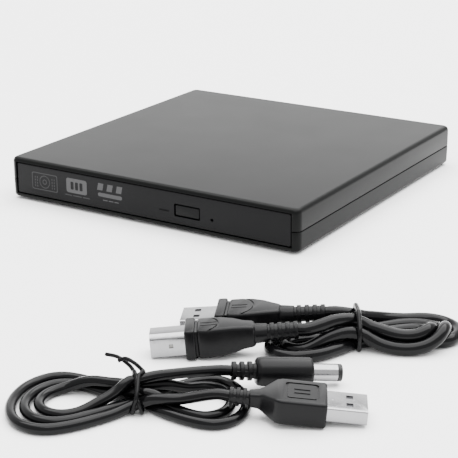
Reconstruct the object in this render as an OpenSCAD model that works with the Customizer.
// Slim external optical drive: two-part shell, tray mechanism inside, and its
// two leads lying tied up beside it. Millimetres. Front is -Y, up is +Z, and the
// soles of the rubber feet stand on z = 0.

/* [Case] */
// width of the case across the front
case_w = 145; // [140:0.5:150]
// depth of the case from bezel to rear wall
case_d = 148; // [144:0.5:152]
// height of the closed shell without its feet
case_h = 18; // [17:0.5:20]
// height of the rubber feet
foot_h = 1; // [0.6:0.1:2]
// thickness of the plastic shell walls
wall = 1.8; // [1.6:0.1:2]
// height of the seam above the underside of the shell
seam_z = 8.6; // [8:0.1:9.5]
// rounding of the upright corners
corner_r = 2.6; // [1:0.1:3]
// rounding of the top and bottom edges
edge_r = 1.6; // [0.8:0.1:2]

/* [Drive] */
// half width of the metal drive chassis
chassis_x = 64; // [63:0.1:64.5]
// thickness of the chassis sheet
sheet = 0.5; // [0.4:0.05:0.6]
// distance the tray slides out
tray_travel = 128; // [120:1:130]
// radius of the recess that takes the disc
recess_r = 60.5; // [60.2:0.1:60.8]
// height of the plane the disc rests on
disc_z = 12.2; // [12.1:0.05:12.4]
// radius of the hub that locates the disc
hub_r = 7.4; // [7.3:0.05:7.5]
// distance from spindle centre to lens at the start of the track
lens_start = 24; // [23:0.1:25]
// distance the pickup travels outward
sled_travel = 33; // [32:0.1:34]
// radius of the two guide rods
rod_r = 1.2; // [1:0.1:1.25]
// lead screw pitch diameter
screw_d = 2.0; // [1.8:0.1:2.2]

/* [Front] */
// half width of the bezel plate
bezel_x = 69; // [68:0.1:69.2]
// distance of the eject button's centre right of the middle
button_x = 20.3; // [19:0.1:21]
// height of the eject button's centre
button_z = 9.2; // [8.6:0.1:9.6]
// distance of the status light's centre right of the middle
light_x = 9; // [8:0.1:9.5]
// height of the status light
light_z = 8.25; // [7.8:0.05:8.6]
// distance of the emergency eject hole right of the middle
pinhole_x = 32.3; // [31:0.1:33]
// height of the emergency eject hole
pinhole_z = 7.85; // [7:0.05:8]
// width of the eject button
button_w = 11.8; // [10:0.1:14]
// height of the eject button
button_h = 4.6; // [4:0.1:6]
// radius of the emergency eject hole
pinhole_r = 0.6; // [0.5:0.05:0.8]

/* [Leads] */
// thickness of the power lead's cord
power_cord_d = 3.4; // [3:0.1:4]
// thickness of the data lead's cord
data_cord_d = 4.4; // [4:0.1:5]
// direction of both tied leads on the floor, in degrees
lead_turn = 31.4; // [28:0.1:34]

/* [Hidden] */
$fn = 64;
base_z = foot_h;
top_z = foot_h + case_h;
mid_z = foot_h + seam_z;
half_w = case_w / 2;
half_d = case_d / 2;
inner_x = half_w - wall;
inner_y = half_d - wall;
floor_z = base_z + wall;
roof_z = top_z - wall;
spin_y = -7.5;
grey = [0.17, 0.17, 0.18];
steel = [0.72, 0.73, 0.75];
dark = [0.07, 0.07, 0.08];

// a box given by its low and high corners
module span_box(lo, hi) {
    translate(lo) cube([hi[0] - lo[0], hi[1] - lo[1], hi[2] - lo[2]]);
}

// the case outline drawn in plan, set in by a margin
module case_plan(margin) {
    offset(r = corner_r) square([case_w - 2 * margin - 2 * corner_r,
        case_d - 2 * margin - 2 * corner_r], center = true);
}

// a solid block with the case outline whose top edge is rounded over
module rounded_block(z0, z1) {
    hull() {
        for (sx = [-1, 1]) {
            for (sy = [-1, 1]) {
                translate([sx * (half_w - corner_r), sy * (half_d - corner_r), z0])
                    cylinder(r = corner_r, h = z1 - z0 - edge_r, $fn = 32);
                translate([sx * (half_w - corner_r), sy * (half_d - corner_r), z0])
                    cylinder(r = corner_r - edge_r * 0.13, h = z1 - z0 - edge_r * 0.5, $fn = 32);
                translate([sx * (half_w - corner_r), sy * (half_d - corner_r), z0])
                    cylinder(r = corner_r - edge_r * 0.5, h = z1 - z0 - edge_r * 0.13, $fn = 32);
                translate([sx * (half_w - corner_r), sy * (half_d - corner_r), z0])
                    cylinder(r = corner_r - edge_r, h = z1 - z0, $fn = 32);
            }
        }
    }
}

// the room inside both shells, open to the front round the bezel
module case_room(z0, z1) {
    span_box([-inner_x, -inner_y + 2, z0], [inner_x, inner_y, z1]);
    span_box([-bezel_x - 0.5, -inner_y - 6, z0], [bezel_x + 0.5, inner_y, z1]);
}

// the two openings through the rear wall
module rear_openings() {
    span_box([-40.3, inner_y - 3, 4.4], [-27.7, half_d + 1, 15.8]);
    translate([-15.5, half_d - 4, 9.8]) rotate([-90, 0, 0]) cylinder(r = 3.6, h = 6);
}

// upper half of the case with its inner ribs
module top_shell() {
    color(grey) {
        difference() {
            rounded_block(mid_z + 0.15, top_z);
            case_room(mid_z - 1, roof_z);
            rear_openings();
            translate([0, 0, mid_z - 1]) linear_extrude(1.9) case_plan(1.0);
        }
        for (sx = [-1, 1]) {
            for (y = [-40, 0, 40]) {
                span_box([sx * 67.8 - 2.9, y - 0.6, 14.2], [sx * 67.8 + 2.9, y + 0.6, roof_z]);
            }
            for (y = [-58, 66]) {
                translate([sx * 67.4, y, 11.6]) difference() {
                    cylinder(r = 2.6, h = roof_z - 11.6);
                    translate([0, 0, -1]) cylinder(r = 1.15, h = 4.6);
                }
            }
        }
    }
}

// lower half of the case with screw posts, vents and cradle ribs
module bottom_shell() {
    color(grey) {
        difference() {
            union() {
                difference() {
                    translate([0, 0, mid_z - 0.1]) mirror([0, 0, 1])
                        rounded_block(0, mid_z - 0.1 - base_z);
                    case_room(floor_z, mid_z + 1);
                }
                difference() {
                    translate([0, 0, mid_z - 1]) linear_extrude(1.7) case_plan(1.1);
                    translate([0, 0, mid_z - 2]) linear_extrude(4) case_plan(wall);
                    span_box([-80, -half_d - 1, 0], [80, -half_d + 4.2, 30]);
                }
                for (sx = [-1, 1]) {
                    for (y = [-58, 66]) {
                        translate([sx * 67.4, y, floor_z - 0.4]) cylinder(r = 2.6, h = 11.5 - floor_z + 0.4);
                    }
                    for (y = [-30, 10, 50]) {
                        span_box([sx * 67.8 - 2.9, y - 0.6, floor_z - 0.2],
                            [sx * 67.8 + 2.9, y + 0.6, 7.2]);
                    }
                }
            }
            rear_openings();
            for (sx = [-1, 1]) {
                for (y = [-58, 66]) {
                    translate([sx * 67.4, y, 0]) cylinder(r = 1.15, h = 14);
                    translate([sx * 67.4, y, 0]) cylinder(r = 2.1, h = 2.6);
                }
            }
            for (i = [-4:4]) {
                span_box([i * 5 - 1, 20, 0], [i * 5 + 1, 44, 4]);
            }
        }
    }
}

// four soft feet stuck under the lower shell
module rubber_feet() {
    color(dark) {
        for (sx = [-1, 1]) {
            for (sy = [-1, 1]) {
                translate([sx * 58, sy * 60, 0]) cylinder(r1 = 5.2, r2 = 5.6, h = foot_h - 0.01);
            }
        }
    }
}

// the four long screws that close the case
module case_screws() {
    color(steel) {
        for (sx = [-1, 1]) {
            for (y = [-58, 66]) {
                translate([sx * 67.4, y, 1.4]) difference() {
                    union() {
                        cylinder(r = 2.0, h = 1.15);
                        cylinder(r = 1.1, h = 12.9);
                    }
                    for (a = [0, 90]) {
                        rotate([0, 0, a]) translate([-1.3, -0.25, -0.1]) cube([2.6, 0.5, 0.8]);
                    }
                }
            }
        }
    }
}

// circuit board that joins the drive to the two rear sockets
module bridge_board() {
    color([0.05, 0.25, 0.12]) difference() {
        span_box([-56, 57.6, 3.5], [26, 71.6, 4.5]);
        for (x = [-52, 22]) {
            translate([x, 64.6, 3]) cylinder(r = 1.4, h = 3);
        }
    }
}

// chips and small parts on the bridge board
module board_chips() {
    color(dark) {
        span_box([-4, 61, 4.55], [6, 71, 6.0]);
        span_box([10, 62, 4.55], [15, 66, 5.8]);
        span_box([-50, 60, 4.55], [-44, 66, 6.6]);
        for (i = [0:4]) {
            span_box([9 + i * 2.2, 68, 4.55], [10.2 + i * 2.2, 70, 5.1]);
        }
    }
}

// metal shell of the square data socket
module usb_socket_shell() {
    color(steel) difference() {
        span_box([-40, 57.8, 4.6], [-28, 73.6, 15.6]);
        span_box([-39.5, 59, 5.1], [-28.5, 74, 15.1]);
    }
}

// plastic tongue in the data socket
module usb_socket_tongue() {
    color([0.85, 0.85, 0.83]) {
        span_box([-39.4, 59.1, 5.2], [-28.6, 61.6, 15.0]);
        span_box([-36.8, 61.5, 8.6], [-31.2, 68.5, 11.8]);
    }
}

// body of the round power jack
module dc_jack_body() {
    color(dark) difference() {
        union() {
            span_box([-20, 60, 4.6], [-11, 72.0, 15.0]);
            translate([-15.5, 71.5, 9.8]) rotate([-90, 0, 0]) cylinder(r = 3.4, h = 2.1);
        }
        translate([-15.5, 63.4, 9.8]) rotate([-90, 0, 0]) cylinder(r = 2.9, h = 12);
        span_box([-16.1, 59, 9.2], [-14.9, 65, 10.4]);
    }
}

// centre pin of the power jack
module dc_jack_pin() {
    color(steel) {
        span_box([-16.1, 61.1, 9.2], [-14.9, 64, 10.4]);
        translate([-15.5, 63.4, 9.8]) rotate([-90, 0, 0]) cylinder(r = 1.0, h = 9.0);
    }
}

// connector on the bridge board that takes the drive
module board_socket() {
    color(dark) difference() {
        span_box([-8.5, 57.7, 4.6], [24.5, 59.6, 9.0]);
        span_box([-7.5, 57.0, 6.0], [23.5, 59.2, 7.6]);
    }
}

// folded metal tray that holds the whole mechanism
module drive_chassis() {
    color(steel) difference() {
        span_box([-chassis_x, -67, 3.4], [chassis_x, 56.5, 15.5]);
        span_box([-chassis_x + sheet, -70, 3.9], [chassis_x - sheet, 56.0, 16]);
        for (sx = [-1, 1]) {
            for (y = [-52, 48]) {
                translate([sx * 50, y, 3]) cylinder(r = 1.6, h = 2);
            }
            span_box([sx * chassis_x - 1, -40, 10.6], [sx * chassis_x + 1, -20, 11.8]);
            span_box([sx * chassis_x - 1, 16, 10.6], [sx * chassis_x + 1, 36, 11.8]);
        }
        span_box([-9, 55, 5.4], [25, 57, 9.8]);
        span_box([-20, 30, 3], [20, 48, 5]);
    }
}

// lid of the drive with pressed rings and ribs
module drive_cover() {
    color(steel) {
        difference() {
            span_box([-chassis_x, -69.2, 15.55], [chassis_x, 56.5, 16.05]);
            for (sx = [-1, 1]) {
                for (y = [-60, 50]) {
                    translate([sx * 60, y, 15]) cylinder(r = 0.85, h = 2);
                }
            }
        }
        translate([0, spin_y, 16.0]) difference() {
            cylinder(r = 40, h = 0.35);
            translate([0, 0, -1]) cylinder(r = 38.6, h = 3);
        }
        translate([0, spin_y, 16.0]) difference() {
            cylinder(r = 22, h = 0.35);
            translate([0, 0, -1]) cylinder(r = 20.6, h = 3);
        }
    }
}

// screws that hold the lid of the drive
module cover_screws() {
    color(dark) {
        for (sx = [-1, 1]) {
            for (y = [-60, 50]) {
                translate([sx * 60, y, 15.5]) difference() {
                    union() {
                        translate([0, 0, -0.2]) cylinder(r = 0.8, h = 0.9);
                        translate([0, 0, 0.56]) cylinder(r = 1.7, h = 0.5);
                    }
                    for (a = [0, 90]) {
                        rotate([0, 0, a]) translate([-0.9, -0.2, 0.75]) cube([1.8, 0.4, 1]);
                    }
                }
            }
        }
    }
}

// one fixed channel on the chassis wall, open toward the middle
module guide_channel() {
    difference() {
        span_box([61.3, -66, 4.6], [63.45, 54, 9.9]);
        span_box([60.5, -67, 5.4], [62.8, 55, 9.1]);
    }
}

// left channel
module guide_left() {
    color([0.85, 0.85, 0.82]) mirror([1, 0, 0]) guide_channel();
}

// right channel
module guide_right() {
    color([0.85, 0.85, 0.82]) guide_channel();
}

// one sliding rail, an upright strip with a tongue in the channel and a lip for the tray
module rail_profile() {
    span_box([61.0, -64, 5.75], [62.45, 52, 8.75]);
    span_box([60.0, -64, 5.2], [61.0, 52, 9.3]);
}

// left sliding rail
module rail_left() {
    color(steel) mirror([1, 0, 0]) rail_profile();
}

// right sliding rail
module rail_right() {
    color(steel) rail_profile();
}

// connector at the rear of the chassis
module drive_connector() {
    color(dark) {
        span_box([-8, 53.6, 5.5], [24, 55.9, 9.6]);
        span_box([-7, 55.8, 6.2], [23, 58.6, 7.4]);
    }
}

// fixed post that the tray latch catches
module latch_post() {
    color(steel) translate([49, -61, 3.95]) {
        cylinder(r = 1.5, h = 3.05);
        cylinder(r = 3, h = 0.4);
    }
}

// sprung plunger that nudges the tray out when the latch lets go
module eject_pusher() {
    color([0.8, 0.8, 0.78]) {
        translate([34, 53.5, 7.0]) rotate([-90, 0, 0]) cylinder(r = 1.1, h = 2.3);
        span_box([32.0, 55.1, 5.2], [36.0, 55.9, 8.8]);
    }
}

// coil spring behind the eject plunger
module eject_spring() {
    color(steel) {
        for (i = [0:2]) {
            translate([34, 53.5 + i * 0.6, 7.0]) rotate([-90, 0, 0]) difference() {
                cylinder(r = 1.7, h = 0.35);
                translate([0, 0, -1]) cylinder(r = 1.2, h = 3);
            }
        }
    }
}

// flat flexible cable from the rear connector to the board under the tray
module ribbon_cable() {
    color([0.9, 0.88, 0.8]) {
        span_box([-4, 10, 4.1], [10, 50, 4.25]);
        span_box([-4, 49.9, 4.1], [10, 50.05, 6.6]);
        span_box([-4, 49.9, 6.45], [10, 53.5, 6.6]);
    }
}

// places things in the frame of the traverse, whose long axis points to the front left
module traverse_axes() {
    translate([0, spin_y, 0]) rotate([0, 0, 225]) children();
}

// outline of the opening in the tray for the traverse
module tray_window(grow) {
    offset(delta = grow) polygon([[-16, -23], [-16, 25], [47, 25], [67, 12], [67, -12], [47, -23]]);
}

// the sliding tray: deck, disc recess, skirts and ribs
module disc_tray() {
    color(grey) difference() {
        union() {
            span_box([-62.4, -69.9, 10.4], [62.4, 53.5, 13.9]);
            span_box([-66.0, -69.9, 4.6], [66.0, -68.4, 13.9]);
            for (sx = [-1, 1]) {
                span_box([sx * 58.7 - 0.7, -68.5, 5.2], [sx * 58.7 + 0.7, 52, 10.5]);
            }
            span_box([-56, 51.9, 8.0], [56, 53.1, 10.5]);
            translate([44, -48, 7.4]) cylinder(r = 2.4, h = 3.1);
            for (p = [[12, 18], [52, 18], [12, 48], [52, 48]]) {
                translate([p[0], p[1], 9.85]) cylinder(r = 1.6, h = 0.7);
            }
            traverse_axes() {
                for (p = [[-16, -26.5], [-16, 28.5], [47.5, 28.0], [47.5, -26.5]]) {
                    translate([p[0], p[1], 10.0]) cylinder(r = 2.2, h = 0.5);
                }
            }
        }
        translate([0, spin_y, 11.35]) cylinder(r = recess_r, h = 5, $fn = 128);
        span_box([-61, -52, 4], [-57, -21, 10.35]);
        traverse_axes() translate([0, 0, 9]) linear_extrude(8) tray_window(0);
        span_box([-40, 46, 11.35], [40, 60, 20]);
        span_box([-13, -68.4, 11.35], [13, -60, 20]);
        span_box([13.6, -75, 5.5], [25.6, -60, 10.3]);
        span_box([light_x - 2.6, -75, light_z - 0.6], [light_x + 2.6, -60, light_z + 0.6]);
        translate([pinhole_x, -75, pinhole_z]) rotate([-90, 0, 0]) cylinder(r = 0.9, h = 12);
        for (sx = [-1, 1]) {
            translate([sx * 64.4, -71, 7]) rotate([-90, 0, 0]) cylinder(r = 0.85, h = 6);
        }
        for (p = [[12, 18], [52, 18], [12, 48], [52, 48]]) {
            translate([p[0], p[1], 9.8]) cylinder(r = 0.65, h = 1.5);
        }
        translate([44, -48, 5]) cylinder(r = 1.0, h = 4);
        traverse_axes() {
            for (p = [[-16, -26.5], [-16, 28.5], [47.5, 28.0], [47.5, -26.5]]) {
                translate([p[0], p[1], 9.9]) cylinder(r = 0.75, h = 1.35);
            }
        }
    }
}

// front panel that closes the case and moves with the tray
module front_bezel() {
    color(grey) difference() {
        union() {
            span_box([-bezel_x, -73.7, 3.15], [bezel_x, -71.9, 16.85]);
            difference() {
                span_box([0.7 - bezel_x, -72, 4.15], [bezel_x - 0.7, -70.0, 15.85]);
                span_box([-67.4, -72.5, 5.6], [67.4, -69, 14.4]);
            }
            for (sx = [-1, 1]) {
                translate([sx * 64.4, -72, 7]) rotate([-90, 0, 0]) cylinder(r = 2.2, h = 2.0);
            }
        }
        span_box([button_x - button_w / 2 - 0.35, -75, button_z - button_h / 2 - 0.35],
            [button_x + button_w / 2 + 0.35, -69, button_z + button_h / 2 + 0.35]);
        span_box([light_x - 2.4, -75, light_z - 0.35], [light_x + 2.4, -71, light_z + 0.35]);
        translate([pinhole_x, -75, pinhole_z]) rotate([-90, 0, 0]) cylinder(r = pinhole_r, h = 6);
        for (sx = [-1, 1]) {
            translate([sx * 64.4, -72.8, 7]) rotate([-90, 0, 0]) cylinder(r = 0.75, h = 6);
        }
    }
}

// clear bar that carries the light to the front
module light_pipe() {
    color([0.75, 0.8, 0.85]) {
        span_box([light_x - 2.35, -73.6, light_z - 0.3], [light_x + 2.35, -68.2, light_z + 0.3]);
        span_box([light_x - 1.7, -68.3, light_z - 0.5], [light_x + 1.7, -66.0, light_z + 0.5]);
    }
}

// moving part of the eject button with its stem
module eject_button() {
    color([0.12, 0.12, 0.13]) {
        span_box([button_x - button_w / 2, -73.5, button_z - button_h / 2],
            [button_x + button_w / 2, -71.6, button_z + button_h / 2]);
        span_box([17.2, -71.7, 7.0], [22.0, -67.6, 9.4]);
    }
}

// metal plate that carries the spindle, the rods and the pickup
module traverse_frame() {
    color(steel) traverse_axes() difference() {
        union() {
            translate([0, 0, 8.6]) linear_extrude(1.2)
                polygon([[-20, -29.5], [-20, 32], [52.5, 32], [69.5, 15], [69.5, -13.5], [53.5, -29.5]]);
            for (y = [-17.5, 17.5]) {
                span_box([13.5, y - 1.5, 5.4], [14.9, y + 1.5, 8.7]);
                span_box([63.5, y - 1.5, 5.4], [65.0, y + 1.5, 8.7]);
            }
            span_box([57.2, 21.6, 5.6], [58.6, 25.2, 8.7]);
        }
        span_box([15.0, -20.3, 8], [63.4, 20.3, 11]);
        translate([0, 0, 8]) cylinder(r = 12.9, h = 4);
        span_box([-0.4, 20.2, 8], [12.8, 26.8, 11]);
        for (y = [-17.5, 17.5]) {
            translate([12, y, 7.0]) rotate([0, 90, 0]) cylinder(r = rod_r, h = 56);
        }
        translate([56, 23.4, 7.2]) rotate([0, 90, 0]) cylinder(r = 0.65, h = 4);
        for (p = [[-16, -26.5], [-16, 28.5], [47.5, 28.0], [47.5, -26.5]]) {
            translate([p[0], p[1], 8]) cylinder(r = 1.7, h = 3);
        }
    }
}

// thin metal sheet that covers the traverse around the spindle and the lens slot
module traverse_cover() {
    color(steel) traverse_axes() difference() {
        translate([0, 0, 10.5]) linear_extrude(0.3) tray_window(-0.5);
        translate([0, 0, 10]) cylinder(r = 14, h = 2);
        span_box([15.2, -9, 10], [64.9, 9, 12]);
        for (p = [[-9, -16], [-9, 18], [40, -17], [40, 18]]) {
            translate([p[0], p[1], 10]) cylinder(r = 0.8, h = 2);
        }
    }
}

// the two polished rods the pickup slides on
module guide_rods() {
    color(steel) traverse_axes() {
        for (y = [-17.5, 17.5]) {
            translate([13.6, y, 7.0]) rotate([0, 90, 0]) cylinder(r = rod_r, h = 51.2);
        }
    }
}

// fixed winding of the spindle motor on its plate
module motor_stator() {
    color([0.6, 0.35, 0.15]) traverse_axes() {
        translate([0, 0, 4.8]) cylinder(r = 12.6, h = 0.5);
        for (a = [105, 180, 255]) {
            rotate([0, 0, a]) span_box([11.5, -1.6, 4.9], [16.4, 1.6, 5.25]);
            rotate([0, 0, a]) span_box([15.2, -1.6, 4.9], [16.4, 1.6, 8.55]);
        }
        translate([0, 0, 5.2]) difference() {
            cylinder(r = 11, h = 2.8);
            translate([0, 0, -1]) cylinder(r = 1.62, h = 6);
            for (a = [0:40:320]) {
                rotate([0, 0, a]) translate([6, -0.5, 0.6]) cube([6, 1, 4]);
            }
        }
    }
}

// small stepper that turns the lead screw
module sled_motor() {
    color(steel) traverse_axes() difference() {
        translate([0.2, 23.4, 7.2]) rotate([0, 90, 0]) cylinder(r = 2.7, h = 11.6);
        translate([10.0, 23.4, 7.2]) rotate([0, 90, 0]) cylinder(r = 0.55, h = 3);
    }
}

// soft bushes with their shoulder screws that carry the traverse
module damper_bushes() {
    color([0.1, 0.1, 0.1]) traverse_axes() {
        for (p = [[-16, -26.5], [-16, 28.5], [47.5, 28.0], [47.5, -26.5]]) {
            translate([p[0], p[1], 8.1]) difference() {
                union() {
                    cylinder(r = 1.65, h = 1.85);
                    cylinder(r = 2.5, h = 0.45);
                }
                translate([0, 0, -1]) cylinder(r = 0.75, h = 4);
            }
        }
    }
}

// control board screwed under the tray
module servo_board() {
    color([0.05, 0.25, 0.12]) difference() {
        span_box([8, 14, 8.9], [56, 51.4, 9.8]);
        for (p = [[12, 18], [52, 18], [12, 48], [52, 48]]) {
            translate([p[0], p[1], 8]) cylinder(r = 0.65, h = 3);
        }
    }
}

// chips under the control board
module servo_chips() {
    color(dark) {
        span_box([16, 22, 7.6], [28, 34, 8.85]);
        span_box([32, 24, 7.6], [40, 30, 8.85]);
        span_box([32, 36, 7.8], [44, 44, 8.85]);
        span_box([9, 38, 7.4], [12, 45, 8.85]);
        for (i = [0:4]) {
            span_box([18 + i * 2.4, 39, 8.3], [19.2 + i * 2.4, 41, 8.85]);
        }
    }
}

// small switch behind the eject button
module eject_switch() {
    color([0.2, 0.2, 0.2]) {
        span_box([16.6, -65.6, 5.4], [22.6, -62.4, 9.4]);
        translate([19.6, -66.4, 8.2]) rotate([-90, 0, 0]) cylinder(r = 0.9, h = 1);
        span_box([14, -63.4, 9.3], [25, -62.4, 10.35]);
    }
}

// solenoid that frees the latch
module latch_solenoid() {
    color([0.55, 0.3, 0.12]) {
        span_box([33.4, -63, 5.4], [35.0, -50, 10.35]);
        translate([34.9, -60, 7.6]) rotate([0, 90, 0]) cylinder(r = 2.0, h = 4.2);
        span_box([39.0, -63, 5.4], [39.8, -57, 10.35]);
    }
}

// screws into the tray: board, traverse and bezel
module tray_screws() {
    color([0.5, 0.5, 0.52]) {
        for (p = [[12, 18], [52, 18], [12, 48], [52, 48]]) {
            translate([p[0], p[1], 8.35]) cylinder(r = 1.3, h = 0.5);
            translate([p[0], p[1], 8.35]) cylinder(r = 0.6, h = 2.9);
        }
        traverse_axes() {
            for (p = [[-16, -26.5], [-16, 28.5], [47.5, 28.0], [47.5, -26.5]]) {
                translate([p[0], p[1], 7.6]) cylinder(r = 1.8, h = 0.45);
                translate([p[0], p[1], 7.6]) cylinder(r = 0.7, h = 3.6);
            }
        }
        translate([44, -48, 4.7]) cylinder(r = 1.0, h = 4.2);
        translate([44, -48, 4.6]) cylinder(r = 1.8, h = 0.45);
        for (sx = [-1, 1]) {
            translate([sx * 64.4, -68.35, 7]) rotate([-90, 0, 0]) cylinder(r = 1.4, h = 0.6);
            translate([sx * 64.4, -72.4, 7]) rotate([-90, 0, 0]) cylinder(r = 0.7, h = 4.1);
        }
    }
}

// turning cup of the spindle motor with its shaft
module spindle_rotor() {
    color(steel) translate([0, spin_y, 0]) difference() {
        union() {
            translate([0, 0, 8.35]) cylinder(r = 12.4, h = 2.75);
            translate([0, 0, 5.6]) cylinder(r = 1.55, h = 3);
            translate([0, 0, 11.0]) cylinder(r = 5.0, h = 2.4);
        }
        translate([0, 0, 7.9]) difference() {
            cylinder(r = 11.4, h = 1.6);
            translate([0, 0, -1]) cylinder(r = 4, h = 4);
        }
    }
}

// soft ring the disc rests on
module turntable_pad() {
    color([0.3, 0.3, 0.3]) translate([0, spin_y, 11.15]) difference() {
        cylinder(r = 12.2, h = disc_z - 11.15);
        translate([0, 0, -1]) cylinder(r = 9.0, h = 4);
    }
}

// hub that centres the disc
module disc_hub() {
    color([0.14, 0.14, 0.15]) translate([0, spin_y, 0]) difference() {
        union() {
            translate([0, 0, 11.15]) cylinder(r = 8.9, h = 1.0);
            translate([0, 0, 11.15]) cylinder(r = hub_r, h = 2.35);
            translate([0, 0, 13.5]) cylinder(r1 = hub_r, r2 = hub_r - 1.2, h = 0.9);
        }
        translate([0, 0, 10]) cylinder(r = 5.05, h = 3.5);
        for (a = [90, 210, 330]) {
            rotate([0, 0, a]) translate([4.9, -1.2, 12.4]) cube([1.8, 2.4, 3]);
        }
    }
}

// three sprung claws that hold the disc on the hub
module hub_claws() {
    color([0.75, 0.75, 0.77]) translate([0, spin_y, 0]) {
        for (a = [90, 210, 330]) {
            rotate([0, 0, a]) translate([5.1, -1.1, 13.6]) cube([1.5, 2.2, 0.9]);
        }
    }
}

// die-cast body of the laser pickup
module pickup_sled() {
    color([0.45, 0.46, 0.48]) traverse_axes() translate([lens_start, 0, 0]) difference() {
        union() {
            span_box([-8.6, -19.6, 5.0], [6.0, 19.6, 9.6]);
            span_box([-7.0, -8.0, 5.0], [5.8, 8.0, 10.9]);
        }
        for (y = [-17.5, 17.5]) {
            translate([-12, y, 7.0]) rotate([0, 90, 0]) cylinder(r = rod_r + 0.05, h = 24);
        }
        span_box([-5.2, -6.2, 7.4], [5.2, 6.2, 12]);
        span_box([-6.6, 9.6, 8.4], [4.0, 15.0, 11]);
        span_box([-6.6, -15.0, 8.4], [4.0, -9.6, 11]);
    }
}

// spring nut that rides in the thread
module sled_nut() {
    color([0.85, 0.85, 0.8]) traverse_axes() translate([lens_start, 0, 0]) difference() {
        union() {
            span_box([-8.4, 19.65, 5.6], [-3.4, 22.6, 8.1]);
            span_box([-8.4, 21.4, 5.4], [-3.4, 25.4, 8.1]);
        }
        translate([-12, 23.4, 7.2]) rotate([0, 90, 0]) cylinder(r = screw_d / 2 + 0.05, h = 12);
        span_box([-9, 22.5, 7.2], [-3, 24.3, 9]);
    }
}

// holder that moves the lens up and down
module lens_holder() {
    color([0.12, 0.12, 0.12]) traverse_axes() translate([lens_start, 0, 0]) difference() {
        span_box([-4.6, -5.6, 8.2], [4.6, 5.6, 10.7]);
        translate([0, 0, 7]) cylinder(r = 2.4, h = 6);
        translate([0, 0, 9.9]) cylinder(r = 3.25, h = 3);
    }
}

// the lens of the pickup
module objective_lens() {
    color([0.5, 0.6, 0.8]) traverse_axes() translate([lens_start, 0, 9.95]) {
        cylinder(r = 3.2, h = 0.6);
        intersection() {
            translate([0, 0, -4.2]) sphere(r = 5.5);
            cylinder(r = 3.0, h = 2);
        }
    }
}

// threaded screw of the pickup drive
module lead_screw() {
    color(steel) traverse_axes() translate([0, 23.4, 7.2]) rotate([0, 90, 0]) difference() {
        union() {
            translate([0, 0, 12.4]) cylinder(r = screw_d / 2, h = 44.4);
            translate([0, 0, 10.6]) cylinder(r = 0.5, h = 47.8);
        }
        translate([0, 0, 58.0]) translate([-0.6, -0.08, 0]) cube([1.2, 0.16, 1]);
        for (z = [14:3:53]) {
            translate([0, 0, z]) difference() {
                cylinder(r = 2, h = 0.5);
                translate([0, 0, -1]) cylinder(r = screw_d / 2 - 0.15, h = 3);
            }
        }
    }
}

// hooked lever that keeps the tray shut
module latch_hook() {
    color([0.82, 0.82, 0.8]) translate([44, -48, 0]) difference() {
        union() {
            translate([0, 0, 5.4]) cylinder(r = 2.4, h = 1.7);
            span_box([-1.2, -11.0, 5.4], [0.9, 0, 7.1]);
            span_box([-1.2, -11.0, 5.4], [2.9, -9.2, 7.1]);
        }
        translate([0, 0, 5]) cylinder(r = 1.05, h = 3);
    }
}

// places things in the frame of a lead lying on the floor
module lead_axes(u, v) {
    translate([0.854 * u + 0.521 * v, 0.521 * u - 0.854 * v, 0]) rotate([0, 0, lead_turn]) children();
}

// plug frame: +X runs from the tip of the plug to its cord, tail lifted a little
module plug_axes(x, y, turn, lift) {
    translate([x, y, -0.83]) rotate([0, 0, turn]) rotate([0, -lift, 0]) children();
}

// metal shell of a flat plug, 12 long, lying from x = 0
module flat_shell(z0) {
    difference() {
        span_box([0, -6, z0 - 2.25], [15, 6, z0 + 2.25]);
        span_box([-1, -5.65, z0 - 1.9], [14, 5.65, z0 + 1.9]);
        span_box([4.2, -3.6, z0 + 1], [6.6, -1.4, z0 + 3]);
        span_box([4.2, 1.4, z0 + 1], [6.6, 3.6, z0 + 3]);
    }
}

// tube round a cord that tapers away from a plug
module relief(x0, x1, r0, r1, z0) {
    translate([x0, 0, z0]) rotate([0, 90, 0]) cylinder(r1 = r0, r2 = r1, h = x1 - x0);
}

// frame of the power lead
module power_axes() {
    lead_axes(-30, 229.5) children();
}

// frame of the data lead
module data_axes() {
    lead_axes(22.9, 181.5) children();
}

// metal shell of the power lead's flat plug
module power_usb_shell() {
    color(steel) power_axes() plug_axes(68, -9, 177, 5) flat_shell(4.1);
}

// moulded grip of the power lead's flat plug
module power_usb_grip() {
    color(dark) power_axes() plug_axes(68, -9, 177, 5) difference() {
        union() {
            translate([0, 0, 0.1]) linear_extrude(8) polygon([[12, -8], [26.5, -8], [31.5, -3.2],
                [35.2, -2.2], [35.2, 2.2], [31.5, 3.2], [26.5, 8], [12, 8]]);
            relief(35, 41, 2.9, 2.3, 4.1);
        }
        span_box([11, -6.05, 1.8], [15.1, 6.05, 6.4]);
        span_box([15, -5, 7.8], [24, 5, 9]);
        translate([34, 0, 4.1]) rotate([0, 90, 0]) cylinder(r = power_cord_d / 2, h = 9);
        span_box([29, -9, 7.1], [36, 9, 9]);
        span_box([29, -9, -1], [36, 9, 1.1]);
    }
}

// moulded grip of the round power plug
module dc_plug_grip() {
    color(dark) power_axes() plug_axes(62, 15, 188, 5) difference() {
        union() {
            relief(9.5, 27.3, 4.7, 4.5, 4.8);
            relief(27, 34.8, 3.2, 2.5, 4.8);
        }
        translate([9, 0, 4.8]) rotate([0, 90, 0]) cylinder(r = 2.2, h = 2.8);
        translate([27, 0, 4.8]) rotate([0, 90, 0]) cylinder(r = power_cord_d / 2, h = 9);
    }
}

// barrel of the round power plug
module dc_plug_barrel() {
    color(steel) power_axes() plug_axes(62, 15, 188, 5) translate([0, 0, 4.8]) rotate([0, 90, 0])
        difference() {
            union() {
                cylinder(r = 2.75, h = 9.5);
                cylinder(r = 2.2, h = 11.8);
            }
            translate([0, 0, -1]) cylinder(r = 1.25, h = 10);
        }
}

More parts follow.
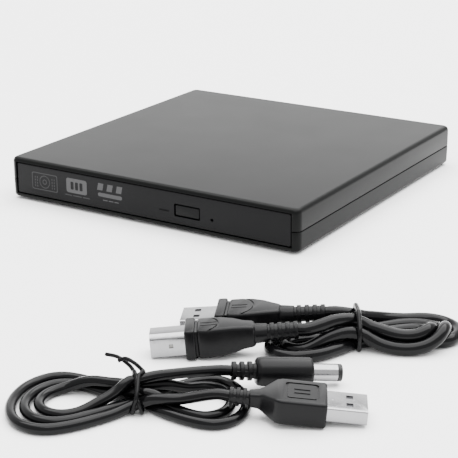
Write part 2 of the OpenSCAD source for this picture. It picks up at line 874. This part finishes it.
// the power lead's cord, folded in a flat figure of eight and tied in the middle
module power_cord() {
    color(dark) power_axes() {
        linear_extrude(power_cord_d) {
            difference() {
                translate([-20.5, 0]) scale([18.5, 20.5]) circle(r = 1);
                translate([-20.5, 0]) scale([10.5, 11.5]) circle(r = 1);
            }
            difference() {
                translate([18, 0]) scale([15.5, 19]) circle(r = 1);
                translate([18, 0]) scale([9, 10.5]) circle(r = 1);
            }
            polygon([[-7, -8.8], [7, -8.8], [7, 8.8], [-7, 8.8]]);
        }
        span_box([-8, -8.4, 0.9], [8, 8.4, 7.6]);
        translate([7, -5.8, 5.8]) rotate([0, 87.4, -3]) cylinder(r = power_cord_d / 2, h = 19.8);
        translate([7, 5.9, 5.8]) rotate([0, 87.0, 12]) cylinder(r = power_cord_d / 2, h = 20.2);
    }
}

// twisted wire that ties the power lead
module power_tie() {
    color(dark) power_axes() {
        difference() {
            span_box([-1.0, -9.9, -0.0], [1.0, 9.9, 8.7]);
            span_box([-2, -9.05, -1.0], [2, 9.05, 7.7]);
        }
        translate([0, 6, 8.6]) rotate([0, 60, 130]) cylinder(r = 0.6, h = 9);
        translate([0, 6, 8.6]) rotate([0, 60, 160]) cylinder(r = 0.6, h = 7);
    }
}

// metal shell of the data lead's flat plug
module data_usb_a_shell() {
    color(steel) data_axes() plug_axes(-41.5, 9.5, -5, 5) flat_shell(4.6);
}

// moulded grip of the data lead's flat plug
module data_usb_a_grip() {
    color(dark) data_axes() plug_axes(-41.5, 9.5, -5, 5) difference() {
        union() {
            span_box([12, -7.8, 0.2], [15.6, 7.8, 9.0]);
            translate([0, 0, 0.5]) linear_extrude(8.2) polygon([[15.5, -7.2], [22, -7.4], [34, -3.6],
                [34, 3.6], [22, 7.4], [15.5, 7.2]]);
            relief(33.9, 39, 3.2, 3.2, 4.6);
            relief(39, 49, 3.1, 2.9, 4.6);
        }
        span_box([11, -6.05, 2.3], [15.1, 6.05, 6.9]);
        translate([39, 0, 4.6]) rotate([0, 90, 0]) cylinder(r = data_cord_d / 2, h = 12);
    }
}

// metal shell of the data lead's square plug
module data_usb_b_shell() {
    color(steel) data_axes() plug_axes(-51, -10.5, 0, 5) difference() {
        span_box([0, -4.2, 1.4], [15, 4.2, 9.2]);
        span_box([-1, -2.9, 3.6], [9, 2.9, 7.0]);
    }
}

// moulded grip of the data lead's square plug
module data_usb_b_grip() {
    color(dark) data_axes() plug_axes(-51, -10.5, 0, 5) difference() {
        union() {
            span_box([11.5, -6.0, 0.1], [15.4, 6.0, 10.5]);
            translate([0, 0, 0.4]) linear_extrude(9.8) polygon([[15.3, -5.5], [22, -5.7], [34.5, -3.4],
                [34.5, 3.4], [22, 5.7], [15.3, 5.5]]);
            relief(34.4, 39, 3.1, 3.1, 5.3);
            relief(39, 48.5, 3.0, 2.8, 5.3);
        }
        span_box([11, -4.25, 1.35], [15.1, 4.25, 9.25]);
        translate([39, 0, 5.3]) rotate([0, 90, 0]) cylinder(r = data_cord_d / 2, h = 12);
    }
}

// the data lead's cord, folded in a flat hank and tied in the middle
module data_cord() {
    color(dark) data_axes() {
        linear_extrude(data_cord_d) {
            difference() {
                union() {
                    translate([37, 0]) scale([16, 16.5]) circle(r = 1);
                    polygon([[19, -11], [34, -16], [34, 16], [19, 11]]);
                }
                translate([38, 0]) scale([6, 6.5]) circle(r = 1);
            }
            translate([-1, -7]) scale([15, 11]) circle(r = 1);
            polygon([[-2, -14], [15, -11], [19, -10.9], [19, 10.9], [15, 10.9], [11, 8.5], [3, 2.5]]);
        }
        span_box([10, -10.4, 0.9], [24, 10.4, 9.6]);
        translate([7.0, 5.2, 7.7]) rotate([0, 90, 0]) cylinder(r = data_cord_d / 2, h = 8);
        translate([-2.4, -10.4, 8.2]) rotate([0, 90, 8]) cylinder(r = data_cord_d / 2, h = 13);
    }
}

// elastic band that ties the data lead
module data_tie() {
    color(dark) data_axes() difference() {
        span_box([15.6, -11.8, 0.0], [18.4, 11.8, 10.4]);
        span_box([15, -11.05, -1.0], [19, 11.05, 9.7]);
    }
}

top_shell();
bottom_shell();
rubber_feet();
case_screws();
bridge_board();
board_chips();
usb_socket_shell();
usb_socket_tongue();
dc_jack_body();
dc_jack_pin();
board_socket();
drive_chassis();
drive_cover();
cover_screws();
guide_left();
guide_right();
drive_connector();
latch_post();
eject_pusher();
eject_spring();
ribbon_cable();
rail_left();
rail_right();
disc_tray();
front_bezel();
light_pipe();
traverse_frame();
traverse_cover();
guide_rods();
motor_stator();
sled_motor();
damper_bushes();
servo_board();
servo_chips();
eject_switch();
latch_solenoid();
tray_screws();
eject_button();
spindle_rotor();
turntable_pad();
disc_hub();
hub_claws();
pickup_sled();
sled_nut();
lens_holder();
objective_lens();
lead_screw();
latch_hook();
power_usb_shell();
power_usb_grip();
power_cord();
dc_plug_grip();
dc_plug_barrel();
power_tie();
data_usb_a_shell();
data_usb_a_grip();
data_usb_b_shell();
data_usb_b_grip();
data_cord();
data_tie();
